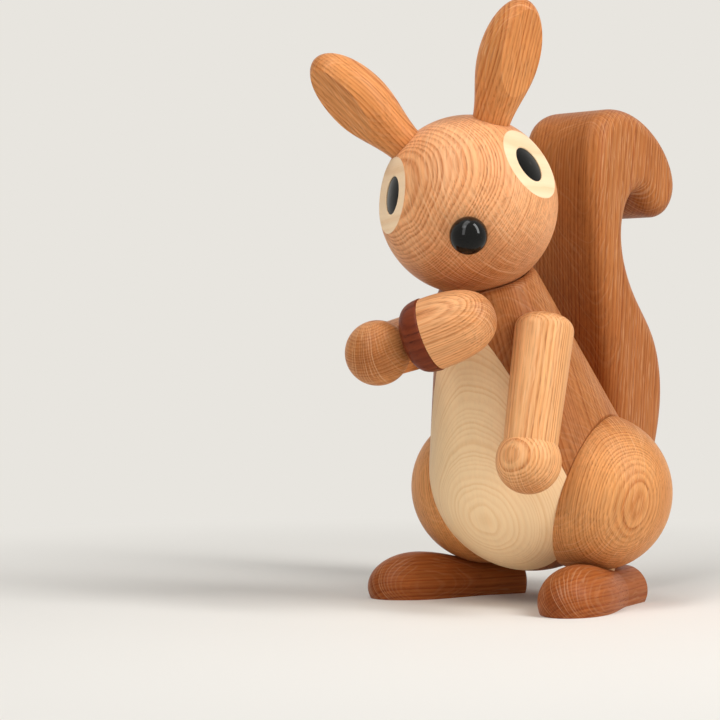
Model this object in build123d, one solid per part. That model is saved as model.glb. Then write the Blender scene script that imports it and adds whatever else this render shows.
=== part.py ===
"""Turned oak squirrel with a maple belly, maple eye discs and an acorn on its right hand.

Millimetres. The squirrel faces -Y, its left side is +X, +Z is up, and both soles stand on z = 0.
The body, head, limbs, ears and feet are turned forms, so most pieces are solids of revolution.
"""
from build123d import *
import os
from math import asin, cos, radians, sin, sqrt

# Fits
GLUE_GAP = 0.03
RUNNING_FIT = 0.06
MOVING_GAP = 0.3

# Bezier handle length that turns a quarter into an ellipse
QUARTER_PULL = 0.5523

# Body: a ball that tapers to the neck along a leaning axis
BODY_RADIUS = 29.8
BODY_CENTRE_Y = 7.05
BODY_CENTRE_Z = 38.6
BODY_LEAN = 22.0
BODY_TAPER = 15.8
NECK_ROUNDING = 3.0
NECK_CUP = 3.2
BELLY_DEPTH = 13.6

# Head
HEAD_RADIUS = 25.2
HEAD_DISTANCE = 81.5
HEAD_TURN = 34.0
NECK_DOWEL_RADIUS = 4.0
NECK_DOWEL_IN_BODY = 8.0
NECK_DOWEL_IN_HEAD = 26.0
BODY_LENGTH = HEAD_DISTANCE - HEAD_RADIUS + NECK_CUP

# Eyes and nose
EYE_AZIMUTH = 69.0
EYE_ELEVATION = 23.6
EYE_DISC_RADIUS = 10.75
EYE_DISC_RIM = 3.8
PUPIL_RADIUS = 5.3
PUPIL_RECESS = 0.3
PUPIL_CROWN = 0.6
PUPIL_EDGE_ROUNDING = 0.3
NOSE_RADIUS = 5.2
NOSE_DROP = 4.5
NOSE_PROUD = 1.6
NOSE_PEG_RADIUS = 2.0
NOSE_PEG_LENGTH = 8.0

# Ears
LEFT_EAR_SPREAD = 28.0
RIGHT_EAR_SPREAD = 33.0
EAR_SWEEP = 2.5
EAR_LENGTH = 34.0
EAR_FOOT_RADIUS = 5.2
EAR_RADIUS = 8.5
EAR_WIDEST = 17.5
LEFT_EAR_FACE_OUTWARD = 36.0
RIGHT_EAR_FACE_OUTWARD = 45.0
EAR_FACE_DISTANCE = 5.9
EAR_FACE_TILT = 7.3
EAR_ROOT = 2.0
EAR_TENON_RADIUS = 3.0
EAR_TENON_LENGTH = 7.0

# Arms
LEFT_SHOULDER_DROP = 15.4
RIGHT_SHOULDER_DROP = 17.8
LEFT_SHOULDER_FORWARD = 18.0
RIGHT_SHOULDER_FORWARD = 12.5
ARM_AXIS_PROUD = 3.6
ARM_LENGTH = 37.0
ARM_SHOULDER_RADIUS = 8.3
ARM_WRIST_RADIUS = 7.4
ARM_END = 5.0
ARM_END_PULL = 0.66
HAND_RADIUS = 9.05
LEFT_ARM_SWING = 34.1
RIGHT_ARM_SWING = 104.5
SHOULDER_DOWEL_RADIUS = 3.0
SHOULDER_DOWEL_IN_BODY = 12.0
SHOULDER_DOWEL_IN_ARM = 7.0

# Haunches
HAUNCH_RADIUS = 22.9
HAUNCH_FLAT = 19.3
HAUNCH_CENTRE_OUT = 0.9
HAUNCH_DROP = 17.8
HAUNCH_SWEEP = 12.4
HAUNCH_EDGE = 0.4
HAUNCH_DOWEL_RADIUS = 4.0
HAUNCH_DOWEL_LENGTH = 22.0

# Feet
FOOT_LENGTH = 49.5
LEFT_FOOT_SPLAY = 9.0
RIGHT_FOOT_SPLAY = 25.5
FOOT_AXIS_HEIGHT = 3.4
TOE_RADIUS = 9.9
TOE_WIDEST = 15.5
HEEL_RADIUS = 7.1
HEEL_EDGE = 1.2
ANKLE_FROM_TIP = 35.0
ANKLE_OUT = 4.7
ANKLE_DOWEL_RADIUS = 2.5
ANKLE_DOWEL_IN_FOOT = 6.0
ANKLE_DOWEL_IN_HAUNCH = 10.0

# Tail: the outline is (y, z) from the ground behind the body, cut from one board
TAIL_THICKNESS = 29.0
TAIL_ROUNDING = 6.0
TAIL_OUTLINE = [
    (30.0, 44.0), (30.5, 62.0), (26.0, 86.0), (22.6, 107.0), (20.6, 127.0), (25.0, 142.0),
    (39.5, 146.0), (53.2, 142.0), (63.6, 133.4), (66.8, 123.0), (61.0, 115.2), (52.4, 116.4),
    (45.4, 121.0), (39.2, 115.5), (37.6, 105.0), (44.0, 91.6), (54.6, 79.0), (59.5, 63.0),
    (56.8, 46.0), (47.0, 31.5), (35.5, 31.0),
]
TAIL_DOWEL_RADIUS = 3.0
TAIL_DOWEL_IN_BODY = 11.0
TAIL_DOWEL_IN_TAIL = 9.0
TAIL_DOWEL_RISE = 10.0
TAIL_DOWEL_SPACING = 14.0

# Acorn
ACORN_RADIUS = 10.1
ACORN_LENGTH = 18.5
NUT_PULL = 0.68
CAP_RADIUS = 10.3
CAP_HEIGHT = 7.6
CAP_PULL = 0.78
CAP_EDGE = 0.5
ACORN_LIFT = 28.0
ACORN_BACK = 5.0
ACORN_PEG_RADIUS = 1.6
ACORN_PEG_IN_HAND = 5.0
ACORN_PEG_IN_CAP = 5.0

# Middle of the figure's length and breadth, which becomes the origin
MIDDLE_X = -0.67
MIDDLE_Y = 3.76

SIDES = {"left": 1, "right": -1}
BIG = 200.0

# Frames that the pieces share
BODY = Plane(
    origin=(0, BODY_CENTRE_Y, BODY_CENTRE_Z),
    x_dir=(1, 0, 0),
    z_dir=(0, -sin(radians(BODY_LEAN)), cos(radians(BODY_LEAN))),
).location
HEAD = BODY * Pos(0, 0, HEAD_DISTANCE) * Rot(0, 0, HEAD_TURN)


def direction(azimuth, elevation):
    """Unit vector at an azimuth from straight ahead (-Y) towards +X, and an elevation above level."""
    level = cos(radians(elevation))
    return Vector(level * sin(radians(azimuth)), -level * cos(radians(azimuth)), sin(radians(elevation)))


def peg(radius, start, end):
    """Cylinder along local Z between two heights."""
    return Pos(0, 0, start) * Cylinder(radius, end - start, align=(Align.CENTER, Align.CENTER, Align.MIN))


def half_space(height, below=True):
    """Large block below or above a height of local Z."""
    side = Align.MAX if below else Align.MIN
    return Pos(0, 0, height) * Box(BIG, BIG, BIG, align=(Align.CENTER, Align.CENTER, side))


def spun(outline):
    """Solid of revolution about local Z from a closed outline in local XZ."""
    return revolve(Plane.XZ * make_face(outline), Axis.Z)


def crown(height, radius, length, pull=QUARTER_PULL):
    """Quarter oval in local XZ from a rim to a tip on the axis; a negative length points down."""
    return Bezier(
        (radius, height),
        (radius, height + pull * length),
        (pull * radius, height + length),
        (0, height + length),
    )


def body_radius_at(height):
    """Radius of the tapering body at a height along its axis, above the ball."""
    taper = radians(BODY_TAPER)
    return (BODY_RADIUS - height * sin(taper)) / cos(taper)


def whole_body():
    """The ball and its taper to the neck, with the dished seat for the head, in the body's frame."""
    taper = radians(BODY_TAPER)
    meet = (BODY_RADIUS * cos(taper), BODY_RADIUS * sin(taper))
    neck = (body_radius_at(BODY_LENGTH), BODY_LENGTH)
    ball_arc = ThreePointArc((0, -BODY_RADIUS), (BODY_RADIUS, 0), meet)
    outline = [
        ball_arc,
        Line(meet, neck),
        Line(neck, (0, BODY_LENGTH)),
        Line((0, BODY_LENGTH), (0, -BODY_RADIUS)),
    ]
    body = spun(outline)
    rim = body.edges().filter_by(GeomType.CIRCLE).sort_by(Axis.Z)[-1]
    body = fillet(rim, NECK_ROUNDING)
    return body - Pos(0, 0, HEAD_DISTANCE) * Sphere(HEAD_RADIUS + MOVING_GAP)


def haunch_frame(side):
    """Frame on the body's flat for one haunch, with Z pointing out of the body."""
    drop = radians(HAUNCH_DROP)
    sweep = radians(HAUNCH_SWEEP)
    out = Vector(side * cos(drop) * cos(sweep), cos(drop) * sin(sweep), -sin(drop))
    centre = Vector(0, BODY_CENTRE_Y, BODY_CENTRE_Z) + out * HAUNCH_FLAT
    return Plane(origin=centre, x_dir=(0, 0, 1), z_dir=out).location


def haunch_ball(side, radius):
    """Full ball that one haunch is cut from."""
    return haunch_frame(side) * Pos(0, 0, HAUNCH_CENTRE_OUT) * Sphere(radius)


def haunch_centre(side):
    """Centre of one haunch's ball."""
    return (haunch_frame(side) * Pos(0, 0, HAUNCH_CENTRE_OUT)).position


def ankle(side):
    """Place of one ankle dowel on the foot's axis, with Z up and X towards the toes."""
    centre = haunch_centre(side)
    splay = radians(LEFT_FOOT_SPLAY if side > 0 else RIGHT_FOOT_SPLAY)
    toes = (side * sin(splay), -cos(splay), 0)
    return Plane(
        origin=(centre.X + side * ANKLE_OUT, centre.Y, FOOT_AXIS_HEIGHT), x_dir=toes, z_dir=(0, 0, 1)
    ).location


def ankle_seat():
    """Height above the foot's axis at which the haunch's ball crosses the ankle dowel."""
    centre = haunch_centre(1)
    return centre.Z - sqrt(HAUNCH_RADIUS**2 - ANKLE_OUT**2) - FOOT_AXIS_HEIGHT


def ankle_dowel(side, clearance=0.0):
    """Dowel between one foot and its haunch, or with a clearance the bore for it."""
    seat = ankle_seat()
    span = peg(ANKLE_DOWEL_RADIUS + clearance, seat - ANKLE_DOWEL_IN_FOOT, seat + ANKLE_DOWEL_IN_HAUNCH)
    return ankle(side) * span


def shoulder(side):
    """Frame at one shoulder: Z out of the body's flank, X up the flank, origin on the flank."""
    taper = radians(BODY_TAPER)
    forward = radians(LEFT_SHOULDER_FORWARD if side > 0 else RIGHT_SHOULDER_FORWARD)
    drop = LEFT_SHOULDER_DROP if side > 0 else RIGHT_SHOULDER_DROP
    outward = Vector(side * cos(forward), -sin(forward), 0)
    up = Vector(0, 0, 1)
    normal = outward * cos(taper) + up * sin(taper)
    along = up * cos(taper) - outward * sin(taper)
    flank = (BODY_LENGTH - BODY_RADIUS * sin(taper)) / cos(taper)
    origin = normal * BODY_RADIUS + along * (flank - drop)
    return BODY * Plane(origin=origin, x_dir=along, z_dir=normal).location


def arm_frame(side, swing):
    """Frame of one arm: X along the arm, Z out of the body, origin on the arm's axis at the shoulder."""
    turn = 180 - side * swing
    return shoulder(side) * Pos(0, 0, MOVING_GAP + ARM_AXIS_PROUD) * Rot(0, 0, turn)


def tail_dowel_frames():
    """Frames of the two tail dowels on the back of the body, with Z pointing back."""
    frames = []
    for offset in (-0.5, 0.5):
        rise = TAIL_DOWEL_RISE + offset * TAIL_DOWEL_SPACING
        back = sqrt(BODY_RADIUS**2 - rise**2)
        origin = (0, BODY_CENTRE_Y + back, BODY_CENTRE_Z + rise)
        frames.append(Plane(origin=origin, x_dir=(1, 0, 0), z_dir=(0, 1, 0)).location)
    return frames


def neck_span():
    """Bottom and top of the neck dowel along the body's axis."""
    seat = HEAD_DISTANCE - HEAD_RADIUS
    return seat - NECK_DOWEL_IN_BODY, seat + NECK_DOWEL_IN_HEAD


def make_trunk():
    """Oak body and maple belly panel, glued on a plane along the body's axis."""
    trunk = BODY * whole_body()
    bottom, top = neck_span()
    trunk -= BODY * peg(NECK_DOWEL_RADIUS + GLUE_GAP, bottom, top)
    for side in SIDES.values():
        frame = haunch_frame(side)
        trunk -= frame * half_space(0, below=False)
        trunk -= frame * peg(HAUNCH_DOWEL_RADIUS + GLUE_GAP, -HAUNCH_DOWEL_LENGTH / 2, 0)
        trunk -= shoulder(side) * peg(SHOULDER_DOWEL_RADIUS + GLUE_GAP, -SHOULDER_DOWEL_IN_BODY, MOVING_GAP)
    for frame in tail_dowel_frames():
        trunk -= frame * peg(TAIL_DOWEL_RADIUS + GLUE_GAP, -TAIL_DOWEL_IN_BODY, TAIL_DOWEL_IN_TAIL)
    ahead = Box(BIG, BIG, BIG, align=(Align.CENTER, Align.MAX, Align.CENTER))
    front = BODY * Pos(0, BELLY_DEPTH - BODY_RADIUS, 0) * ahead
    return trunk - front, trunk & front


def eye_frame(side):
    """Frame of one eye at the head's centre, with Z out through the eye."""
    return HEAD * Plane(origin=(0, 0, 0), z_dir=direction(side * EYE_AZIMUTH, EYE_ELEVATION)).location


def eye_face():
    """Distance from the head's centre to an eye disc's flat face."""
    return sqrt(HEAD_RADIUS**2 - EYE_DISC_RADIUS**2)


def eye_floor():
    """Distance from the head's centre to the flat floor of an eye's bore."""
    return eye_face() - EYE_DISC_RIM


def nose_frame():
    """Frame of the nose at the head's centre, with Z ahead and a little down."""
    return HEAD * Plane(origin=(0, 0, 0), z_dir=direction(0, -NOSE_DROP)).location


def ear_frame(side):
    """Frame of one ear at the head's centre: Z along the ear, X square to the ear's flat face."""
    spread = radians(LEFT_EAR_SPREAD if side > 0 else RIGHT_EAR_SPREAD)
    sweep = radians(EAR_SWEEP)
    axis = Vector(side * sin(spread), cos(spread) * sin(sweep), cos(spread) * cos(sweep))
    facing = direction(side * (LEFT_EAR_FACE_OUTWARD if side > 0 else RIGHT_EAR_FACE_OUTWARD), 0)
    facing = facing - axis * facing.dot(axis)
    return HEAD * Plane(origin=(0, 0, 0), x_dir=facing.normalized(), z_dir=axis).location


def make_head():
    """Ball of the head with its bores for the neck, eyes, nose and ears."""
    head = HEAD * Sphere(HEAD_RADIUS)
    bottom, top = neck_span()
    head -= BODY * peg(NECK_DOWEL_RADIUS + RUNNING_FIT, bottom, top + MOVING_GAP)
    head -= nose_frame() * Pos(0, 0, HEAD_RADIUS + NOSE_PROUD) * Sphere(NOSE_RADIUS + GLUE_GAP)
    peg_end = HEAD_RADIUS + NOSE_PROUD - NOSE_PEG_LENGTH - GLUE_GAP
    head -= nose_frame() * peg(NOSE_PEG_RADIUS + GLUE_GAP, peg_end, HEAD_RADIUS)
    for side in SIDES.values():
        head -= eye_frame(side) * peg(EYE_DISC_RADIUS + GLUE_GAP, eye_floor(), HEAD_RADIUS)
        tenon_end = HEAD_RADIUS - EAR_TENON_LENGTH - GLUE_GAP
        head -= ear_frame(side) * peg(EAR_TENON_RADIUS + GLUE_GAP, tenon_end, HEAD_RADIUS)
    return head


def make_eye_disc(side):
    """Flat maple disc let into the head, bored for the pupil."""
    disc = peg(EYE_DISC_RADIUS, eye_floor() + GLUE_GAP, eye_face())
    disc -= peg(PUPIL_RADIUS + GLUE_GAP, 0, HEAD_RADIUS)
    bore_edges = disc.edges().filter_by(GeomType.CIRCLE).filter_by(lambda e: e.radius < EYE_DISC_RADIUS)
    disc = fillet(bore_edges.sort_by(Axis.Z)[-1], PUPIL_EDGE_ROUNDING)
    return eye_frame(side) * disc


def make_pupil(side):
    """Black peg with a domed top, its edge just below the face of the eye disc."""
    edge = eye_face() - PUPIL_RECESS
    top = edge + PUPIL_CROWN
    floor = eye_floor() + GLUE_GAP
    dome_radius = (PUPIL_RADIUS**2 + PUPIL_CROWN**2) / (2 * PUPIL_CROWN)
    half_way = asin(PUPIL_RADIUS / dome_radius) / 2
    shoulder_point = (dome_radius * sin(half_way), top - dome_radius * (1 - cos(half_way)))
    outline = [
        Line((0, floor), (PUPIL_RADIUS, floor)),
        Line((PUPIL_RADIUS, floor), (PUPIL_RADIUS, edge)),
        ThreePointArc((PUPIL_RADIUS, edge), shoulder_point, (0, top)),
        Line((0, top), (0, floor)),
    ]
    return eye_frame(side) * spun(outline)


def make_nose():
    """Black ball on a peg."""
    centre = HEAD_RADIUS + NOSE_PROUD
    ball = Pos(0, 0, centre) * Sphere(NOSE_RADIUS)
    return nose_frame() * (ball + peg(NOSE_PEG_RADIUS, centre - NOSE_PEG_LENGTH, centre))


def make_ear(side):
    """Turned club with one flat face, on a tenon that the eye's bore trims where they meet."""
    foot = HEAD_RADIUS - EAR_ROOT
    widest = HEAD_RADIUS + EAR_WIDEST
    tip = HEAD_RADIUS + EAR_LENGTH
    flank = Spline((EAR_FOOT_RADIUS, foot), (EAR_RADIUS, widest), tangents=[(0.05, 1), (0, 1)])
    outline = [
        Line((0, foot), (EAR_FOOT_RADIUS, foot)),
        flank,
        crown(widest, EAR_RADIUS, tip - widest),
        Line((0, tip), (0, foot)),
    ]
    ear = spun(outline) - Sphere(HEAD_RADIUS + GLUE_GAP)
    face = Pos(EAR_FACE_DISTANCE, 0, widest) * Rot(0, -EAR_FACE_TILT, 0)
    ear -= face * Box(BIG, BIG, BIG, align=(Align.MIN, Align.CENTER, Align.CENTER))
    ear += peg(EAR_TENON_RADIUS, HEAD_RADIUS - EAR_TENON_LENGTH, HEAD_RADIUS + EAR_ROOT)
    eye_bore = eye_frame(side) * peg(EYE_DISC_RADIUS + GLUE_GAP, eye_floor(), eye_face())
    return ear_frame(side) * ear - eye_bore


def make_arm(side, swing):
    """Turned arm with a ball for a hand, flat where it lies against the body."""
    outline = [
        crown(0, ARM_SHOULDER_RADIUS, -ARM_END, ARM_END_PULL),
        Line((ARM_SHOULDER_RADIUS, 0), (ARM_WRIST_RADIUS, ARM_LENGTH)),
        Line((ARM_WRIST_RADIUS, ARM_LENGTH), (0, ARM_LENGTH)),
        Line((0, ARM_LENGTH), (0, -ARM_END)),
    ]
    shaft = Rot(0, 90, 0) * spun(outline)
    shaft -= half_space(-ARM_AXIS_PROUD)
    arm = shaft + Pos(ARM_LENGTH, 0, 0) * Sphere(HAND_RADIUS)
    bore_end = SHOULDER_DOWEL_IN_ARM - ARM_AXIS_PROUD - MOVING_GAP
    arm -= peg(SHOULDER_DOWEL_RADIUS + RUNNING_FIT, -ARM_AXIS_PROUD - MOVING_GAP, bore_end + MOVING_GAP)
    if side < 0:
        peg_end = -ACORN_PEG_IN_HAND - GLUE_GAP
        arm -= acorn_local() * peg(ACORN_PEG_RADIUS + GLUE_GAP, peg_end, ACORN_PEG_IN_CAP)
    return arm_frame(side, swing) * arm


def acorn_local():
    """Frame of the acorn on the arm: origin on the hand's surface, Z out along the acorn."""
    lift = radians(ACORN_LIFT)
    back = radians(ACORN_BACK)
    out = Vector(-sin(back), cos(back) * sin(lift), -cos(back) * cos(lift))
    origin = Vector(ARM_LENGTH, 0, 0) + out * HAND_RADIUS
    return Plane(origin=origin, x_dir=(1, 0, 0), z_dir=out).location


def make_acorn():
    """Nut, dark cap and the peg that holds them to the right hand."""
    rim = GLUE_GAP + CAP_HEIGHT
    tip = rim + ACORN_LENGTH
    nut_outline = [
        Line((0, rim), (ACORN_RADIUS, rim)),
        crown(rim, ACORN_RADIUS, ACORN_LENGTH, NUT_PULL),
        Line((0, tip), (0, rim)),
    ]
    cap_outline = [
        crown(rim, CAP_RADIUS, -CAP_HEIGHT, CAP_PULL),
        Line((CAP_RADIUS, rim), (0, rim)),
        Line((0, rim), (0, GLUE_GAP)),
    ]
    cap = spun(cap_outline)
    cap = fillet(cap.edges().filter_by(GeomType.CIRCLE).sort_by(Axis.Z)[-1], CAP_EDGE)
    peg_solid = peg(ACORN_PEG_RADIUS, -ACORN_PEG_IN_HAND, ACORN_PEG_IN_CAP)
    cap -= peg(ACORN_PEG_RADIUS + GLUE_GAP, -ACORN_PEG_IN_HAND, ACORN_PEG_IN_CAP + GLUE_GAP)
    frame = arm_frame(-1, RIGHT_ARM_SWING) * acorn_local()
    return frame * spun(nut_outline), frame * cap, frame * peg_solid


def make_haunch(side):
    """Half ball with its flat on the body."""
    haunch = Pos(0, 0, HAUNCH_CENTRE_OUT) * Sphere(HAUNCH_RADIUS) - half_space(0)
    haunch = fillet(haunch.edges().filter_by(GeomType.CIRCLE).sort_by(Axis.Z)[0], HAUNCH_EDGE)
    haunch -= peg(HAUNCH_DOWEL_RADIUS + GLUE_GAP, 0, HAUNCH_DOWEL_LENGTH / 2)
    return haunch_frame(side) * haunch - ankle_dowel(side, GLUE_GAP)


def make_foot(side):
    """Turned bulb for the toes and a slimmer heel, cut flat for the sole and dished for the haunch."""
    tip = ANKLE_FROM_TIP
    widest = tip - TOE_WIDEST
    heel = tip - FOOT_LENGTH
    instep = Spline((TOE_RADIUS, widest), (HEEL_RADIUS, 0), tangents=[(0, -1), (-0.1, -1)])
    outline = [
        crown(widest, TOE_RADIUS, TOE_WIDEST),
        instep,
        Line((HEEL_RADIUS, 0), (HEEL_RADIUS, heel)),
        Line((HEEL_RADIUS, heel), (0, heel)),
        Line((0, heel), (0, tip)),
    ]
    foot = spun(outline)
    foot = fillet(foot.edges().filter_by(GeomType.CIRCLE).sort_by(Axis.Z)[0], HEEL_EDGE)
    foot = Rot(0, 90, 0) * foot - half_space(-FOOT_AXIS_HEIGHT)
    foot = ankle(side) * foot - haunch_ball(side, HAUNCH_RADIUS)
    return foot - ankle_dowel(side, GLUE_GAP)


def make_tail():
    """Board cut to an S that hooks back at the top, with rounded edges, hollowed to fit the body."""
    profile = make_face(Spline(TAIL_OUTLINE, periodic=True))
    board = extrude(Plane.YZ * profile, TAIL_THICKNESS / 2, both=True)
    tail = fillet(board.faces().filter_by(Axis.X).edges(), TAIL_ROUNDING)
    tail -= BODY * whole_body()
    for frame in tail_dowel_frames():
        tail -= frame * peg(TAIL_DOWEL_RADIUS + GLUE_GAP, -TAIL_DOWEL_IN_BODY, TAIL_DOWEL_IN_TAIL)
    return tail


def make_tail_dowels():
    """Two dowels side by side in height, so that the tail can't turn."""
    dowel = peg(TAIL_DOWEL_RADIUS, -TAIL_DOWEL_IN_BODY, TAIL_DOWEL_IN_TAIL)
    return [frame * dowel for frame in tail_dowel_frames()]


def make_pieces():
    """Every piece by name."""
    pieces = {}
    pieces["body"], pieces["belly_panel"] = make_trunk()
    pieces["head"] = make_head()
    pieces["nose"] = make_nose()
    pieces["neck_dowel"] = BODY * peg(NECK_DOWEL_RADIUS, *neck_span())
    pieces["tail"] = make_tail()
    lower_dowel, upper_dowel = make_tail_dowels()
    pieces["tail_dowels"] = lower_dowel + upper_dowel
    swings = {"left": LEFT_ARM_SWING, "right": RIGHT_ARM_SWING}
    for name, side in SIDES.items():
        pieces[f"ear_{name}"] = make_ear(side)
        pieces[f"eye_disc_{name}"] = make_eye_disc(side)
        pieces[f"pupil_{name}"] = make_pupil(side)
        pieces[f"arm_{name}"] = make_arm(side, swings[name])
        in_arm = SHOULDER_DOWEL_IN_ARM
        pieces[f"shoulder_dowel_{name}"] = shoulder(side) * peg(
            SHOULDER_DOWEL_RADIUS, -SHOULDER_DOWEL_IN_BODY, in_arm
        )
        pieces[f"haunch_{name}"] = make_haunch(side)
        pieces[f"haunch_dowel_{name}"] = haunch_frame(side) * peg(
            HAUNCH_DOWEL_RADIUS, -HAUNCH_DOWEL_LENGTH / 2, HAUNCH_DOWEL_LENGTH / 2
        )
        pieces[f"foot_{name}"] = make_foot(side)
        pieces[f"ankle_dowel_{name}"] = ankle_dowel(side)
    pieces["acorn_nut"], pieces["acorn_cap"], pieces["acorn_peg"] = make_acorn()
    return {name: Pos(-MIDDLE_X, -MIDDLE_Y, 0) * piece for name, piece in pieces.items()}


def main():
    os.makedirs("parts", exist_ok=True)
    for name, piece in make_pieces().items():
        export_step(piece, f"parts/{name}.step")


if __name__ == "__main__":
    main()
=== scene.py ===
"""Looks for the turned oak squirrel: every piece of wood gets its own grain, and a pale studio shows it."""
from math import radians, tau

import bpy
from bpy.props import FloatProperty, FloatVectorProperty, PointerProperty
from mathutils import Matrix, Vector


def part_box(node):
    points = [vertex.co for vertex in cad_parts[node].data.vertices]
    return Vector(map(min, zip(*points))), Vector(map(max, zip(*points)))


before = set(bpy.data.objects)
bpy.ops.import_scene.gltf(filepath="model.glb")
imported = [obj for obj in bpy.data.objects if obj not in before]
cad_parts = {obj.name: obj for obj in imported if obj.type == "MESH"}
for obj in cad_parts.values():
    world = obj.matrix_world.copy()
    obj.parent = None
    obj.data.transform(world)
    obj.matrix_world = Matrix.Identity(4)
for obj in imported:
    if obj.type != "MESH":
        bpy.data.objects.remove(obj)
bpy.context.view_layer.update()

bl_info = {
    "name": "Turned oak squirrel",
    "version": (1, 0, 0),
    "blender": (4, 5, 0),
    "location": "3D View > Sidebar > Squirrel",
    "description": "Finishes the turned pieces of a wooden squirrel and sets up its studio",
    "category": "Object",
}

MM = 0.001

# Directions that the turned pieces share, in the figure's frame
BODY_AXIS = Vector((0.0, -0.3746, 0.9272))
ARM_AXES = {"left": Vector((0.0412, -0.2605, -0.9646)), "right": Vector((0.2761, -0.9529, -0.1252))}
EAR_AXES = {"left": Vector((0.3677, -0.0574, 0.9282)), "right": Vector((-0.4720, -0.5681, 0.6741))}
FOOT_AXES = {"left": Vector((0.1564, -0.9877, 0.0)), "right": Vector((-0.4305, -0.9026, 0.0))}
ACORN_AXIS = Vector((0.8972, 0.3101, 0.3143))
EYE_WAYS = {"left": Vector((0.8929, 0.0412, 0.4484)), "right": Vector((-0.5256, -0.8460, 0.0900))}

# Drift of the year rings, in years: the stretch over which it changes, and how far it goes
DRIFT_SPAN = 5
DRIFT = 2.5

# A pore's length over its width
PORE_STRETCH = 14

# Forms in the wood and the least distance to the pith, in mm
RAY_HEIGHT = 5
RAY_DEPTH = 14
FIBRE_LENGTH = 50
PATCH_WIDTH = 14
PATCH_LENGTH = 60
NEAREST_PITH = 8

# Tints of the broad patches and of oiled end grain, and the colour of dust on the lacquer
PATCH_TINT = "#ECDAC5"
END_TINT = "#C8AD90"
DUST = "#2A2926"

# Specular level of each finish, where 0.5 is what its IOR alone gives
WOOD_GLOSS = 0.14
PUPIL_GLOSS = 0.08
NOSE_GLOSS = 0.2

# Camera that was fitted to the photograph: focal length in mm, place in metres
CAMERA_LENS = 100
CAMERA_PLACE = (0.33925, -0.47812, 0.07045)
CAMERA_TURN = (radians(90), 0, radians(40))

# Floor: width of the roller's stipple in mm, and where the board starts and ends to fade, in metres
STIPPLE = 2
FADE_START = 0.1
FADE_END = 0.32

# Sockets of a colour mix: its two colours and its result
COLOUR_A = 6
COLOUR_B = 7
MIXED = 2


def linear(code):
    """Linear colour from an sRGB hex value."""
    channels = [int(code[i:i + 2], 16) / 255 for i in (1, 3, 5)]
    return tuple(c / 12.92 if c <= 0.04045 else ((c + 0.055) / 1.055) ** 2.4 for c in channels)


def colour_property(name, description, code):
    """A colour that shows in the sidebar, given as an sRGB hex value."""
    return FloatVectorProperty(
        name=name, description=description, default=linear(code), subtype="COLOR", min=0, max=1
    )


def size_property(name, description, millimetres):
    """A size in millimetres that shows in the sidebar."""
    return FloatProperty(name=name, description=description, default=millimetres, min=0.01)


def share_property(name, description, share):
    """A strength from nothing to full that shows in the sidebar."""
    return FloatProperty(name=name, description=description, default=share, min=0, max=1, subtype="FACTOR")


def power_property(name, description, watts):
    """A light's power in watts that shows in the sidebar."""
    return FloatProperty(name=name, description=description, default=watts, min=0, unit="POWER")


class SquirrelOak(bpy.types.PropertyGroup):
    """Oak: ring-porous, so each year starts with a dark band of open pores, crossed by pale rays."""

    ring: size_property("Ring width", "Width of one year's growth in mm", 1.05)
    close_ring: size_property("Close ring width", "Width of one year in slow-grown blanks in mm", 0.78)
    wander: size_property("Ring wander", "How far the rings stray from true circles in mm", 1.6)
    pore: size_property("Pore width", "Width of one open pore in mm, coarse enough to show", 0.36)
    ray: size_property("Ray spacing", "Distance between rays in mm", 0.85)
    ring_depth: share_property("Ring depth", "How much the early wood darkens", 0.8)
    pore_depth: share_property("Pore depth", "How dark the open pores are", 0.5)
    ray_depth: share_property("Ray depth", "How pale the rays are", 0.5)
    streak_depth: share_property("Streak depth", "How much the fibre streaks vary", 0.24)
    patch_depth: share_property("Patch depth", "How much the broad patches darken", 0.5)
    end_depth: share_property("End grain depth", "How much end grain darkens with oil", 0.75)
    early: colour_property("Early wood", "Tint of the porous early wood", "#CC9C6C")
    pores: colour_property("Pores", "Colour inside the pores", "#6A3816")
    rays: colour_property("Rays", "Colour of the rays", "#F6CFA4")


class SquirrelMaple(bpy.types.PropertyGroup):
    """Maple: fine and even, with thin brownish lines between the years and no open pores."""

    ring: size_property("Ring width", "Width of one year's growth in mm", 0.6)
    wander: size_property("Ring wander", "How far the rings stray from true circles in mm", 1.4)
    pore: size_property("Fibre width", "Width of one fibre streak in mm", 0.3)
    ray: size_property("Ray spacing", "Distance between rays in mm", 0.6)
    ring_depth: share_property("Ring depth", "How much the line between years darkens", 0.45)
    pore_depth: share_property("Fibre depth", "How dark the fibre streaks are", 0.06)
    ray_depth: share_property("Ray depth", "How pale the rays are", 0.1)
    streak_depth: share_property("Streak depth", "How much the fibre streaks vary", 0.05)
    patch_depth: share_property("Patch depth", "How much the broad patches darken", 0.12)
    end_depth: share_property("End grain depth", "How much end grain darkens with oil", 0.1)
    early: colour_property("Year line", "Tint of the line between years", "#E6CBA8")
    pores: colour_property("Fibres", "Colour of the fibre streaks", "#B98A5C")
    rays: colour_property("Rays", "Colour of the rays", "#FBEBD0")


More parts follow.
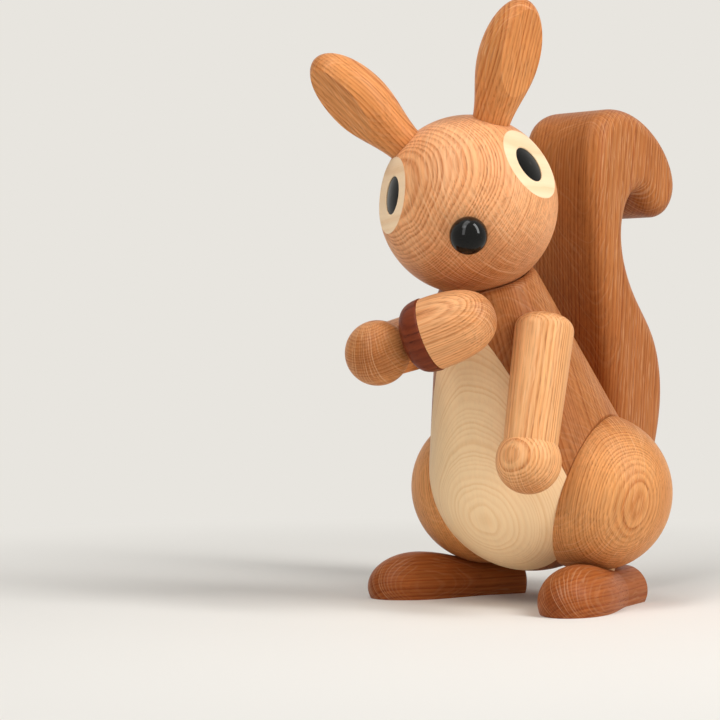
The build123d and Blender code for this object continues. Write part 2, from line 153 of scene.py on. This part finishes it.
class SquirrelWalnut(bpy.types.PropertyGroup):
    """Walnut: dark and half ring-porous, with darker year lines and fine long pores."""

    ring: size_property("Ring width", "Width of one year's growth in mm", 2.2)
    wander: size_property("Ring wander", "How far the rings stray from true circles in mm", 1.6)
    pore: size_property("Pore width", "Width of one open pore in mm, coarse enough to show", 0.36)
    ray: size_property("Ray spacing", "Distance between rays in mm", 0.7)
    ring_depth: share_property("Ring depth", "How much the year line darkens", 0.8)
    pore_depth: share_property("Pore depth", "How dark the open pores are", 0.6)
    ray_depth: share_property("Ray depth", "How pale the rays are", 0.1)
    streak_depth: share_property("Streak depth", "How much the fibre streaks vary", 0.3)
    patch_depth: share_property("Patch depth", "How much the broad patches darken", 0.5)
    end_depth: share_property("End grain depth", "How much end grain darkens with oil", 0.3)
    early: colour_property("Year line", "Tint of the line between years", "#C2AC9C")
    pores: colour_property("Pores", "Colour inside the pores", "#1C0C07")
    rays: colour_property("Rays", "Colour of the rays", "#8A5A42")


class SquirrelTones(bpy.types.PropertyGroup):
    """Ground colour of each blank of wood, and of the black lacquer; the acorn arm's colour also holds
    painted shade.
    """

    head: colour_property("Head", "Ground colour of the head", "#F0B07C")
    ears: colour_property("Ears", "Ground colour of the ears", "#DE975A")
    arms: colour_property("Arms", "Ground colour of the left arm", "#EFB37A")
    # painted shade: darker than the left arm, partly darker wood and partly painted shade on the side away
    # from the lights
    shaded_acorn_arm: colour_property("Acorn arm", "Ground colour of the arm that holds the acorn", "#D0905A")
    trunk: colour_property("Body", "Ground colour of the body", "#BA7844")
    haunches: colour_property("Haunches", "Ground colour of the haunches", "#E09F62")
    feet: colour_property("Feet", "Ground colour of the feet", "#A8602F")
    tail: colour_property("Tail", "Ground colour of the tail", "#BA753F")
    nut: colour_property("Acorn", "Ground colour of the acorn's nut", "#EDB07A")
    belly: colour_property("Belly", "Ground colour of the belly panel", "#FFDDAE")
    eyes: colour_property("Eye discs", "Ground colour of the eye discs", "#FCDDB6")
    cap: colour_property("Acorn cap", "Ground colour of the acorn's cap", "#7A361B")
    dowels: colour_property("Dowels", "Ground colour of the hidden dowels", "#E2BC8E")
    lacquer: colour_property("Black lacquer", "Colour of the nose and pupils", "#0B0B0A")


class SquirrelStudio(bpy.types.PropertyGroup):
    """Floor, background and light levels."""

    floor: colour_property("Floor", "Colour of the floor", "#E9E6E0")
    background: colour_property("Background", "Colour behind the figure and of the far floor", "#E8E5DF")
    reach: FloatProperty(
        name="Floor reach",
        description="Half the floor's width",
        default=4.0,
        min=0.5,
        unit="LENGTH",
        subtype="DISTANCE",
    )
    side: power_property("Side light", "Power of the soft light on the right", 9.5)
    top: power_property("Top light", "Power of the soft light above", 4.0)
    front: power_property("Front light", "Power of the light by the camera", 4.0)
    room: colour_property("Room colour", "Colour of the light from all round", "#FFFDFA")
    ambient: FloatProperty(
        name="Room light", description="Level of the light from all round", default=0.1, min=0
    )


class SquirrelLooks(bpy.types.PropertyGroup):
    """All the settings of the figure."""

    oak: PointerProperty(type=SquirrelOak)
    maple: PointerProperty(type=SquirrelMaple)
    walnut: PointerProperty(type=SquirrelWalnut)
    tones: PointerProperty(type=SquirrelTones)
    studio: PointerProperty(type=SquirrelStudio)


def add(tree, kind, inputs=None, **settings):
    """Adds a node, with its settings and with each input set to a value or linked to a socket."""
    node = tree.nodes.new(kind)
    for name, value in settings.items():
        setattr(node, name, value)
    for name, value in (inputs or {}).items():
        if isinstance(value, bpy.types.NodeSocket):
            tree.links.new(value, node.inputs[name])
        else:
            node.inputs[name].default_value = value
    return node


def new_material(name):
    """An empty node material."""
    material = bpy.data.materials.new(name)
    material.use_nodes = True
    material.node_tree.nodes.clear()
    return material


def middle(node):
    """Middle of a CAD node's box."""
    low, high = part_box(node)
    return (low + high) / 2


def dress(material, *names):
    """Gives CAD nodes their material through their material slots."""
    for name in names:
        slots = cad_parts[name].data.materials
        slots.clear()
        slots.append(material)


def blank(tree, timber, grain, pith):
    """Place in a blank of wood, in mm with Z along the grain and the pith at zero, and the facing there."""
    place = add(tree, "ShaderNodeTexCoord")
    turn = grain.to_track_quat("Z", "Y").to_euler()
    block = add(
        tree,
        "ShaderNodeMapping",
        {"Vector": place.outputs["Object"], "Location": pith, "Rotation": turn, "Scale": (MM, MM, MM)},
        vector_type="TEXTURE",
    ).outputs[0]
    facing = add(
        tree,
        "ShaderNodeMapping",
        {"Vector": place.outputs["Normal"], "Rotation": turn},
        vector_type="TEXTURE",
    ).outputs[0]
    # a slow bend of the trunk and small waves of the fibres: mm across the grain, along it, and strayed
    for across, along, reach in ((22, 90, timber.wander), (6, 30, timber.wander / 5)):
        rate = (1 / across, 1 / across, 1 / along)
        waves = add(tree, "ShaderNodeVectorMath", {0: block, 1: rate}, operation="MULTIPLY").outputs[0]
        noise = add(
            tree, "ShaderNodeTexNoise", {"Vector": waves, "Scale": 1.0, "Detail": 1.0}
        ).outputs["Color"]
        stray = add(
            tree, "ShaderNodeVectorMath", {0: noise, 1: (0.5, 0.5, 0.5)}, operation="SUBTRACT"
        ).outputs[0]
        stray = add(
            tree, "ShaderNodeVectorMath", {0: stray, "Scale": 2 * reach}, operation="SCALE"
        ).outputs[0]
        block = add(tree, "ShaderNodeVectorMath", {0: block, 1: stray}, operation="ADD").outputs[0]
    return block, facing


def year_bands(tree, radius, ring):
    """How porous the wood is, 0 to 1: each year starts open and dark, fades and ends sharply."""
    # a slow drift makes some years wide and some narrow
    slow = add(tree, "ShaderNodeMath", {0: radius, 1: DRIFT_SPAN * ring}, operation="DIVIDE").outputs[0]
    uneven = add(
        tree, "ShaderNodeTexNoise", {"W": slow, "Scale": 1.0, "Detail": 1.0}, noise_dimensions="1D"
    ).outputs["Fac"]
    years = add(tree, "ShaderNodeMath", {0: radius, 1: ring}, operation="DIVIDE").outputs[0]
    years = add(tree, "ShaderNodeMath", {0: uneven, 1: DRIFT, 2: years}, operation="MULTIPLY_ADD").outputs[0]
    year = add(tree, "ShaderNodeMath", {0: years}, operation="FRACT").outputs[0]
    number = add(tree, "ShaderNodeMath", {0: years}, operation="FLOOR").outputs[0]
    chance = add(tree, "ShaderNodeTexWhiteNoise", {"W": number}, noise_dimensions="1D").outputs["Value"]
    depth = add(tree, "ShaderNodeMapRange", {"Value": chance, "To Min": 0.4, "To Max": 1.0}).outputs[0]
    ramp = add(tree, "ShaderNodeValToRGB", {"Fac": year})
    stops = [(0.0, 0.45), (0.1, 1.0), (0.3, 0.75), (0.55, 0.2), (0.88, 0.0), (1.0, 0.45)]
    while len(ramp.color_ramp.elements) < len(stops):
        ramp.color_ramp.elements.new(0.5)
    for element, (position, level) in zip(ramp.color_ramp.elements, stops):
        element.position = position
        element.color = (level, level, level, 1)
    return add(tree, "ShaderNodeMath", {0: ramp.outputs["Color"], 1: depth}, operation="MULTIPLY").outputs[0]


def open_pores(tree, block, early, timber):
    """Open pores, long and thin, and mostly in the early wood."""
    fine = 1 / timber.pore
    rate = (fine, fine, fine / PORE_STRETCH)
    thin = add(tree, "ShaderNodeVectorMath", {0: block, 1: rate}, operation="MULTIPLY").outputs[0]
    pores = add(tree, "ShaderNodeTexNoise", {"Vector": thin, "Scale": 1.0, "Detail": 1.0}).outputs["Fac"]
    pores = add(tree, "ShaderNodeMapRange", {"Value": pores, "From Min": 0.54, "From Max": 0.7}).outputs[0]
    share = add(tree, "ShaderNodeMath", {0: early, 1: 0.7, 2: 0.3}, operation="MULTIPLY_ADD").outputs[0]
    return add(tree, "ShaderNodeMath", {0: pores, 1: share}, operation="MULTIPLY").outputs[0]


def ray_lines(tree, block, facing, flat, radius, distance, timber):
    """Thin pale rays that stand out from the pith like spokes; they fade where a face lies along them."""
    axes = add(tree, "ShaderNodeSeparateXYZ", {0: block})
    bearing = add(
        tree, "ShaderNodeMath", {0: axes.outputs["Y"], 1: axes.outputs["X"]}, operation="ARCTAN2"
    ).outputs[0]
    # the rays have their true spacing at the piece's middle
    spokes_per_radian = distance / timber.ray
    spoke = add(tree, "ShaderNodeMath", {0: bearing, 1: spokes_per_radian}, operation="MULTIPLY").outputs[0]
    tall = add(tree, "ShaderNodeMath", {0: axes.outputs["Z"], 1: RAY_HEIGHT}, operation="DIVIDE").outputs[0]
    deep = add(tree, "ShaderNodeMath", {0: radius, 1: RAY_DEPTH}, operation="DIVIDE").outputs[0]
    spokes = add(tree, "ShaderNodeCombineXYZ", {"X": spoke, "Y": tall, "Z": deep}).outputs[0]
    chance = add(tree, "ShaderNodeTexNoise", {"Vector": spokes, "Scale": 0.7, "Detail": 1.0}).outputs["Fac"]
    turn = add(tree, "ShaderNodeMath", {0: chance, 1: 2.0, 2: spoke}, operation="MULTIPLY_ADD").outputs[0]
    turn = add(tree, "ShaderNodeMath", {0: turn, 1: tau}, operation="MULTIPLY").outputs[0]
    wave = add(tree, "ShaderNodeMath", {0: turn}, operation="SINE").outputs[0]
    rays = add(tree, "ShaderNodeMapRange", {"Value": wave, "From Min": 0.2, "From Max": 1.0}).outputs[0]
    strength = add(
        tree, "ShaderNodeMapRange", {"Value": chance, "From Min": 0.35, "From Max": 0.62}
    ).outputs[0]
    rays = add(tree, "ShaderNodeMath", {0: rays, 1: strength}, operation="MULTIPLY").outputs[0]
    square = add(tree, "ShaderNodeVectorMath", {0: (0, 0, 1), 1: flat}, operation="CROSS_PRODUCT").outputs[0]
    square = add(tree, "ShaderNodeVectorMath", {0: square}, operation="NORMALIZE").outputs[0]
    along = add(
        tree, "ShaderNodeVectorMath", {0: square, 1: facing}, operation="DOT_PRODUCT"
    ).outputs["Value"]
    along = add(tree, "ShaderNodeMath", {0: along, 1: along}, operation="MULTIPLY").outputs[0]
    across = add(tree, "ShaderNodeMapRange", {"Value": along, "To Min": 1.0, "To Max": 0.15}).outputs[0]
    return add(tree, "ShaderNodeMath", {0: rays, 1: across}, operation="MULTIPLY").outputs[0]


def wood(name, tone, timber, ring, grain, centre, to_pith):
    """Oiled, turned wood as one solid block: rings about the pith, pores along the grain, rays across it.

    The eye gets dark arcs and pale rays on end grain, and long streaks where the cut runs with the grain.
    The way from the centre to the pith is in mm.
    """
    grain = grain.normalized()
    pith = centre + to_pith * MM
    offset = centre - pith
    distance = max((offset - grain * offset.dot(grain)).length / MM, NEAREST_PITH)
    material = new_material(name)
    tree = material.node_tree
    block, facing = blank(tree, timber, grain, pith)
    flat = add(tree, "ShaderNodeVectorMath", {0: block, 1: (1, 1, 0)}, operation="MULTIPLY").outputs[0]
    radius = add(tree, "ShaderNodeVectorMath", {0: flat}, operation="LENGTH").outputs["Value"]
    early = year_bands(tree, radius, ring)
    pores = open_pores(tree, block, early, timber)
    rays = ray_lines(tree, block, facing, flat, radius, distance, timber)
    # fibre streaks about 1 mm wide, and broad patches, because no blank is one colour
    rate = (1, 1, 1 / FIBRE_LENGTH)
    long = add(tree, "ShaderNodeVectorMath", {0: block, 1: rate}, operation="MULTIPLY").outputs[0]
    fibres = add(tree, "ShaderNodeTexNoise", {"Vector": long, "Scale": 1.0, "Detail": 3.0}).outputs["Fac"]
    rate = (1 / PATCH_WIDTH, 1 / PATCH_WIDTH, 1 / PATCH_LENGTH)
    wide = add(tree, "ShaderNodeVectorMath", {0: block, 1: rate}, operation="MULTIPLY").outputs[0]
    patch = add(tree, "ShaderNodeTexNoise", {"Vector": wide, "Scale": 1.0, "Detail": 1.0}).outputs["Fac"]

    depth = add(tree, "ShaderNodeMath", {0: early, 1: timber.ring_depth}, operation="MULTIPLY").outputs[0]
    dark_year = tuple(t * e for t, e in zip(tone, timber.early))
    colour = add(
        tree,
        "ShaderNodeMix",
        {"Factor": depth, COLOUR_A: (*tone, 1), COLOUR_B: (*dark_year, 1)},
        data_type="RGBA",
    ).outputs[MIXED]
    streak = add(
        tree,
        "ShaderNodeMapRange",
        {
            "Value": fibres,
            "From Min": 0.3,
            "From Max": 0.7,
            "To Min": 1 - 0.6 * timber.streak_depth,
            "To Max": 1 + 0.4 * timber.streak_depth,
        },
    ).outputs[0]
    colour = add(
        tree,
        "ShaderNodeMix",
        {"Factor": 1.0, COLOUR_A: colour, COLOUR_B: streak},
        data_type="RGBA",
        blend_type="MULTIPLY",
    ).outputs[MIXED]
    warm = add(
        tree,
        "ShaderNodeMapRange",
        {"Value": patch, "From Min": 0.4, "From Max": 0.7, "To Max": timber.patch_depth},
    ).outputs[0]
    colour = add(
        tree,
        "ShaderNodeMix",
        {"Factor": warm, COLOUR_A: colour, COLOUR_B: (*linear(PATCH_TINT), 1)},
        data_type="RGBA",
        blend_type="MULTIPLY",
    ).outputs[MIXED]
    # end grain drinks more oil, so it is darker
    end = add(tree, "ShaderNodeSeparateXYZ", {0: facing}).outputs["Z"]
    end = add(tree, "ShaderNodeMath", {0: end, 1: end}, operation="MULTIPLY").outputs[0]
    soaked = add(
        tree,
        "ShaderNodeMapRange",
        {"Value": end, "From Min": 0.25, "From Max": 1.0, "To Max": timber.end_depth},
    ).outputs[0]
    colour = add(
        tree,
        "ShaderNodeMix",
        {"Factor": soaked, COLOUR_A: colour, COLOUR_B: (*linear(END_TINT), 1)},
        data_type="RGBA",
        blend_type="MULTIPLY",
    ).outputs[MIXED]
    pale = add(tree, "ShaderNodeMath", {0: rays, 1: timber.ray_depth}, operation="MULTIPLY").outputs[0]
    pale_ray = tuple((t + r) / 2 for t, r in zip(tone, timber.rays))
    colour = add(
        tree, "ShaderNodeMix", {"Factor": pale, COLOUR_A: colour, COLOUR_B: (*pale_ray, 1)}, data_type="RGBA"
    ).outputs[MIXED]
    dark = add(tree, "ShaderNodeMath", {0: pores, 1: timber.pore_depth}, operation="MULTIPLY").outputs[0]
    colour = add(
        tree,
        "ShaderNodeMix",
        {"Factor": dark, COLOUR_A: colour, COLOUR_B: (*timber.pores, 1)},
        data_type="RGBA",
    ).outputs[MIXED]

    rough = add(tree, "ShaderNodeMapRange", {"Value": pores, "To Min": 0.42, "To Max": 0.66}).outputs[0]
    height = add(tree, "ShaderNodeMath", {0: pores, 1: -1.0, 2: fibres}, operation="MULTIPLY_ADD").outputs[0]
    bump = add(tree, "ShaderNodeBump", {"Height": height, "Strength": 0.3, "Distance": 0.12 * MM}).outputs[0]
    surface = add(
        tree,
        "ShaderNodeBsdfPrincipled",
        {
            "Base Color": colour,
            "Roughness": rough,
            "IOR": 1.5,
            "Specular IOR Level": WOOD_GLOSS,
            "Normal": bump,
        },
    ).outputs[0]
    add(tree, "ShaderNodeOutputMaterial", {"Surface": surface})
    return material


def lacquer(name, colour, gloss):
    """Black gloss lacquer on a turned bead: sharp highlights, with a trace of brush-out and dust."""
    material = new_material(name)
    tree = material.node_tree
    place = add(tree, "ShaderNodeTexCoord").outputs["Object"]
    # brush-out about 3 mm across and dust about 0.3 mm
    wave = add(tree, "ShaderNodeTexNoise", {"Vector": place, "Scale": 330.0, "Detail": 2.0}).outputs["Fac"]
    dust = add(tree, "ShaderNodeTexNoise", {"Vector": place, "Scale": 3300.0, "Detail": 1.0}).outputs["Fac"]
    dust = add(tree, "ShaderNodeMapRange", {"Value": dust, "From Min": 0.66, "From Max": 0.8}).outputs[0]
    tint = add(
        tree,
        "ShaderNodeMix",
        {"Factor": dust, COLOUR_A: (*colour, 1), COLOUR_B: (*linear(DUST), 1)},
        data_type="RGBA",
    ).outputs[MIXED]
    rough = add(
        tree,
        "ShaderNodeMapRange",
        {"Value": wave, "From Min": 0.3, "From Max": 0.7, "To Min": 0.05, "To Max": 0.1},
    ).outputs[0]
    bump = add(tree, "ShaderNodeBump", {"Height": wave, "Strength": 0.04, "Distance": 0.2 * MM}).outputs[0]
    surface = add(
        tree,
        "ShaderNodeBsdfPrincipled",
        {"Base Color": tint, "Roughness": rough, "IOR": 1.5, "Specular IOR Level": gloss, "Normal": bump},
    ).outputs[0]
    add(tree, "ShaderNodeOutputMaterial", {"Surface": surface})
    return material


class SQUIRREL_OT_trunk(bpy.types.Operator):
    """Oak body with its grain along the leaning axis, and the pale belly panel."""

    bl_idname = "squirrel.trunk"
    bl_label = "Body and belly"

    def execute(self, context):
        looks = context.scene.squirrel
        oak = looks.oak
        grain = BODY_AXIS + Vector((0.05, 0, 0))
        to_pith = Vector((61, 51, 0))
        body = wood("oiled_oak_body", looks.tones.trunk, oak, oak.ring, grain, middle("body"), to_pith)
        dress(body, "body")
        # the pith is far in front, so the rings come to a bullseye low on the belly
        maple = looks.maple
        grain = Vector((0.0, -0.45, 0.89))
        bullseye = Vector((3.6, -23.2, 25.2)) * MM
        to_pith = Vector((20, -177, -90))
        belly = wood("oiled_maple_belly", looks.tones.belly, maple, maple.ring, grain, bullseye, to_pith)
        dress(belly, "belly_panel")
        return {"FINISHED"}


class SQUIRREL_OT_head(bpy.types.Operator):
    """Oak ball with steep grain: the rings bend round the right eye and the end grain is at the chin."""

    bl_idname = "squirrel.head"
    bl_label = "Head"

    def execute(self, context):
        looks = context.scene.squirrel
        oak = looks.oak
        grain = Vector((0.335, -0.239, -0.901))
        to_pith = Vector((12, 41.7, -6.6))
        head = wood("oiled_oak_head", looks.tones.head, oak, oak.close_ring, grain, middle("head"), to_pith)
        dress(head, "head")
        return {"FINISHED"}


class SQUIRREL_OT_ears(bpy.types.Operator):
    """Oak ears with their grain along each ear."""

    bl_idname = "squirrel.ears"
    bl_label = "Ears"

    def execute(self, context):
        looks = context.scene.squirrel
        oak = looks.oak
        to_pith = Vector((30, 26, -4))
        for side, grain in EAR_AXES.items():
            node = f"ear_{side}"
            ear = wood(f"oiled_oak_{node}", looks.tones.ears, oak, oak.ring, grain, middle(node), to_pith)
            dress(ear, node)
        return {"FINISHED"}


class SQUIRREL_OT_eyes(bpy.types.Operator):
    """Pale maple discs with black lacquered pupils."""

    bl_idname = "squirrel.eyes"
    bl_label = "Eyes"

    def execute(self, context):
        looks = context.scene.squirrel
        tone = looks.tones.eyes
        maple = looks.maple
        for side, way in EYE_WAYS.items():
            node = f"eye_disc_{side}"
            grain = way.cross(Vector((0, 0, 1)))
            # flat-sawn: the pith is straight behind the face, which leaves hardly a line on it
            to_pith = way * -60
            disc = wood(f"oiled_maple_{node}", tone, maple, maple.ring, grain, middle(node), to_pith)
            dress(disc, node)
        dress(lacquer("black_lacquer_pupil", looks.tones.lacquer, PUPIL_GLOSS), "pupil_left", "pupil_right")
        return {"FINISHED"}


class SQUIRREL_OT_nose(bpy.types.Operator):
    """Black lacquered bead."""

    bl_idname = "squirrel.nose"
    bl_label = "Nose"

    def execute(self, context):
        dress(lacquer("black_lacquer_nose", context.scene.squirrel.tones.lacquer, NOSE_GLOSS), "nose")
        return {"FINISHED"}


class SQUIRREL_OT_arms(bpy.types.Operator):
    """Oak arms with their grain along each arm, so the hands show end grain."""

    bl_idname = "squirrel.arms"
    bl_label = "Arms"

    def execute(self, context):
        looks = context.scene.squirrel
        oak = looks.oak
        blanks = (
            ("left", looks.tones.arms, Vector((-3.5, 27.5, -11.6))),
            # the acorn arm's darker tone is partly darker wood and partly painted shade
            ("right", looks.tones.shaded_acorn_arm, Vector((-4, 6, 24))),
        )
        for side, tone, to_pith in blanks:
            node = f"arm_{side}"
            grain = ARM_AXES[side]
            arm = wood(f"oiled_oak_{node}", tone, oak, oak.close_ring, grain, middle(node), to_pith)
            dress(arm, node)
        return {"FINISHED"}


class SQUIRREL_OT_acorn(bpy.types.Operator):
    """Pale oak nut with ring arcs at its tip, and a dark walnut cap."""

    bl_idname = "squirrel.acorn"
    bl_label = "Acorn"

    def execute(self, context):
        looks = context.scene.squirrel
        oak = looks.oak
        centre = middle("acorn_nut")
        to_pith = Vector((-4, -16, 6))
        nut = wood("oiled_oak_nut", looks.tones.nut, oak, oak.close_ring, ACORN_AXIS, centre, to_pith)
        dress(nut, "acorn_nut")
        walnut = looks.walnut
        centre = middle("acorn_cap")
        to_pith = Vector((0, -20, 10))
        cap = wood("oiled_walnut_cap", looks.tones.cap, walnut, walnut.ring, ACORN_AXIS, centre, to_pith)
        dress(cap, "acorn_cap")
        return {"FINISHED"}


class SQUIRREL_OT_haunches(bpy.types.Operator):
    """Oak half balls with upright grain and a bullseye on the outer face."""

    bl_idname = "squirrel.haunches"
    bl_label = "Haunches"

    def execute(self, context):
        looks = context.scene.squirrel
        tone = looks.tones.haunches
        oak = looks.oak
        for side, sign in (("left", 1), ("right", -1)):
            node = f"haunch_{side}"
            grain = Vector((sign * 0.16, 0.12, 0.96))
            to_pith = Vector((sign * 30, -17, -2))
            haunch = wood(f"oiled_oak_{node}", tone, oak, oak.close_ring, grain, middle(node), to_pith)
            dress(haunch, node)
        return {"FINISHED"}


class SQUIRREL_OT_feet(bpy.types.Operator):
    """Darker oak feet with their grain from heel to toe."""

    bl_idname = "squirrel.feet"
    bl_label = "Feet"

    def execute(self, context):
        looks = context.scene.squirrel
        oak = looks.oak
        to_pith = Vector((12, 0, -20))
        for side, grain in FOOT_AXES.items():
            node = f"foot_{side}"
            foot = wood(f"oiled_oak_{node}", looks.tones.feet, oak, oak.ring, grain, middle(node), to_pith)
            dress(foot, node)
        return {"FINISHED"}


class SQUIRREL_OT_tail(bpy.types.Operator):
    """Oak board with upright grain."""

    bl_idname = "squirrel.tail"
    bl_label = "Tail"

    def execute(self, context):
        looks = context.scene.squirrel
        oak = looks.oak
        grain = Vector((0.02, 0.09, 1.0))
        to_pith = Vector((-30, -34, 0))
        tail = wood("oiled_oak_tail", looks.tones.tail, oak, oak.ring, grain, middle("tail"), to_pith)
        dress(tail, "tail")
        return {"FINISHED"}


class SQUIRREL_OT_dowels(bpy.types.Operator):
    """Plain beech dowels inside the joints, as even and fine as maple."""

    bl_idname = "squirrel.dowels"
    bl_label = "Dowels"

    def execute(self, context):
        looks = context.scene.squirrel
        maple = looks.maple
        centre = middle("neck_dowel")
        to_pith = Vector((30, 20, 0))
        beech = wood("plain_beech_dowel", looks.tones.dowels, maple, maple.ring, BODY_AXIS, centre, to_pith)
        dress(beech, "neck_dowel", "tail_dowels", "acorn_peg")
        for joint in ("shoulder", "haunch", "ankle"):
            dress(beech, f"{joint}_dowel_left", f"{joint}_dowel_right")
        return {"FINISHED"}


class SQUIRREL_OT_stage(bpy.types.Operator):
    """Pale floor, soft studio light and the camera."""

    bl_idname = "squirrel.stage"
    bl_label = "Studio"

    def execute(self, context):
        scene = context.scene
        studio = scene.squirrel.studio
        self.lay_floor(scene, studio)
        # soft lights with their size and place in metres, aimed at the middle of the figure
        aim = Vector((0, 0, 0.08))
        for name, power, size, place in (
            ("side_light", studio.side, (0.25, 1.0), (0.80, 0.10, 0.70)),
            ("top_light", studio.top, (0.35, 0.9), (0.00, -0.40, 0.98)),
            ("front_light", studio.front, (0.30, 1.1), (0.12, -0.95, 0.62)),
        ):
            lamp = bpy.data.lights.new(name, "AREA")
            lamp.shape = "RECTANGLE"
            lamp.energy = power
            lamp.size, lamp.size_y = size
            light = bpy.data.objects.new(name, lamp)
            light.location = place
            light.rotation_euler = (aim - Vector(place)).to_track_quat("-Z", "Y").to_euler()
            scene.collection.objects.link(light)
        self.light_room(scene, studio)

        lens = bpy.data.cameras.new("camera")
        lens.lens = CAMERA_LENS
        lens.sensor_width = 36
        lens.clip_start = 0.01
        camera = bpy.data.objects.new("camera", lens)
        camera.location = CAMERA_PLACE
        camera.rotation_euler = CAMERA_TURN
        scene.collection.objects.link(camera)
        scene.camera = camera
        scene.view_settings.view_transform = "Standard"
        return {"FINISHED"}

    def lay_floor(self, scene, studio):
        """A large square of painted board."""
        reach = studio.reach
        corners = [(-reach, -reach, 0), (reach, -reach, 0), (reach, reach, 0), (-reach, reach, 0)]
        mesh = bpy.data.meshes.new("floor")
        mesh.from_pydata(corners, [], [(0, 1, 2, 3)])
        mesh.materials.append(self.floor_paint(studio))
        floor = bpy.data.objects.new("floor", mesh)
        scene.collection.objects.link(floor)

    def floor_paint(self, studio):
        """Matt painted board with a trace of roller stipple, which melts into the background far away."""
        material = new_material("matt_painted_floor")
        tree = material.node_tree
        place = add(tree, "ShaderNodeTexCoord").outputs["Object"]
        stipple = add(
            tree, "ShaderNodeTexNoise", {"Vector": place, "Scale": 1 / (STIPPLE * MM), "Detail": 2.0}
        ).outputs["Fac"]
        bump = add(
            tree, "ShaderNodeBump", {"Height": stipple, "Strength": 0.05, "Distance": 0.3 * MM}
        ).outputs[0]
        paint = add(
            tree,
            "ShaderNodeBsdfPrincipled",
            {"Base Color": (*studio.floor, 1), "Roughness": 0.8, "Normal": bump},
        ).outputs[0]
        away = add(tree, "ShaderNodeVectorMath", {0: place}, operation="LENGTH").outputs["Value"]
        far = add(
            tree,
            "ShaderNodeMapRange",
            {"Value": away, "From Min": FADE_START, "From Max": FADE_END},
            interpolation_type="SMOOTHSTEP",
        ).outputs[0]
        far = add(tree, "ShaderNodeMath", {0: far, 1: seen_directly(tree)}, operation="MULTIPLY").outputs[0]
        haze = add(tree, "ShaderNodeEmission", {"Color": (*studio.background, 1), "Strength": 1.0}).outputs[0]
        both = add(tree, "ShaderNodeMixShader", {0: far, 1: paint, 2: haze}).outputs[0]
        add(tree, "ShaderNodeOutputMaterial", {"Surface": both})
        return material

    def light_room(self, scene, studio):
        """Even light from all round, and a pale background where the camera sees past the floor."""
        world = bpy.data.worlds.new("studio")
        scene.world = world
        world.use_nodes = True
        tree = world.node_tree
        tree.nodes.clear()
        room = add(
            tree, "ShaderNodeBackground", {"Color": (*studio.room, 1), "Strength": studio.ambient}
        ).outputs[0]
        wall = add(
            tree, "ShaderNodeBackground", {"Color": (*studio.background, 1), "Strength": 1.0}
        ).outputs[0]
        both = add(tree, "ShaderNodeMixShader", {0: seen_directly(tree), 1: room, 2: wall}).outputs[0]
        add(tree, "ShaderNodeOutputWorld", {"Surface": both})


def seen_directly(tree):
    """1 for rays from the camera, off gloss and through clear things, 0 for light on the figure."""
    path = add(tree, "ShaderNodeLightPath").outputs
    seen = path["Is Camera Ray"]
    for kind in ("Is Glossy Ray", "Is Transmission Ray"):
        seen = add(tree, "ShaderNodeMath", {0: seen, 1: path[kind]}, operation="MAXIMUM").outputs[0]
    return seen


PIECES = (
    SQUIRREL_OT_trunk,
    SQUIRREL_OT_head,
    SQUIRREL_OT_ears,
    SQUIRREL_OT_eyes,
    SQUIRREL_OT_nose,
    SQUIRREL_OT_arms,
    SQUIRREL_OT_acorn,
    SQUIRREL_OT_haunches,
    SQUIRREL_OT_feet,
    SQUIRREL_OT_tail,
    SQUIRREL_OT_dowels,
    SQUIRREL_OT_stage,
)


class SQUIRREL_PT_panel(bpy.types.Panel):
    """Lists the pieces in the sidebar."""

    bl_idname = "SQUIRREL_PT_panel"
    bl_label = "Turned oak squirrel"
    bl_space_type = "VIEW_3D"
    bl_region_type = "UI"
    bl_category = "Squirrel"

    def draw(self, context):
        for piece in PIECES:
            self.layout.operator(piece.bl_idname)


CLASSES = (
    SquirrelOak,
    SquirrelMaple,
    SquirrelWalnut,
    SquirrelTones,
    SquirrelStudio,
    SquirrelLooks,
    *PIECES,
    SQUIRREL_PT_panel,
)


def register():
    for cls in CLASSES:
        bpy.utils.register_class(cls)
    bpy.types.Scene.squirrel = PointerProperty(type=SquirrelLooks)


def unregister():
    del bpy.types.Scene.squirrel
    for cls in reversed(CLASSES):
        bpy.utils.unregister_class(cls)


def main():
    register()
    bpy.ops.squirrel.trunk()
    bpy.ops.squirrel.head()
    bpy.ops.squirrel.ears()
    bpy.ops.squirrel.eyes()
    bpy.ops.squirrel.nose()
    bpy.ops.squirrel.arms()
    bpy.ops.squirrel.acorn()
    bpy.ops.squirrel.haunches()
    bpy.ops.squirrel.feet()
    bpy.ops.squirrel.tail()
    bpy.ops.squirrel.dowels()
    bpy.ops.squirrel.stage()


if __name__ == "__main__":
    main()
